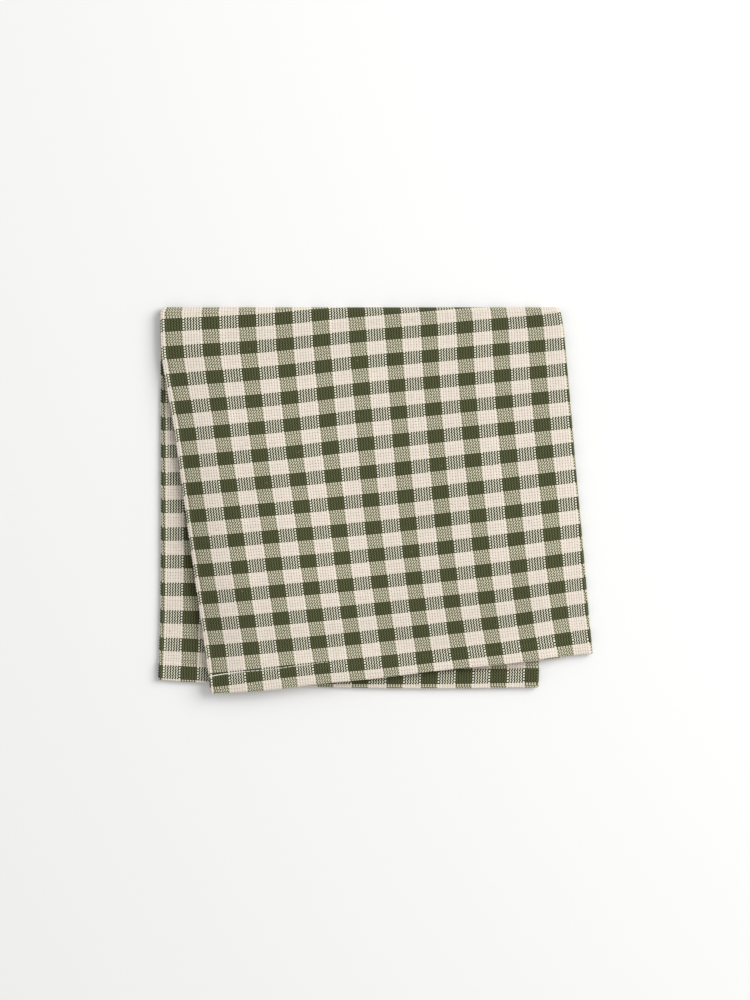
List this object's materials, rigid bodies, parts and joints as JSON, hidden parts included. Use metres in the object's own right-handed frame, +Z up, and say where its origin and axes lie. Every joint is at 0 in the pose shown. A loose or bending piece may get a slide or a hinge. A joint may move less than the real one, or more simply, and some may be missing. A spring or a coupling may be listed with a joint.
{
  "type": "cloth napkin",
  "caption": "Square woven cotton check napkin with sewn hems, folded in four and lying flat with its top flap a little askew.",
  "frame": {"origin": "on the surface that the napkin lies on, under the middle of its outline", "axes": "+Z up out of the surface, +Y towards the top fold, +X towards the book fold at the right"},
  "size_m": [0.2535, 0.2248, 0.0107],
  "materials": {
    "check_cotton": "matt woven cotton in a dark olive green and cream check"
  },
  "bodies": {
    "root": {"napkin_cloth": "check_cotton"}
  },
  "joints": []
}
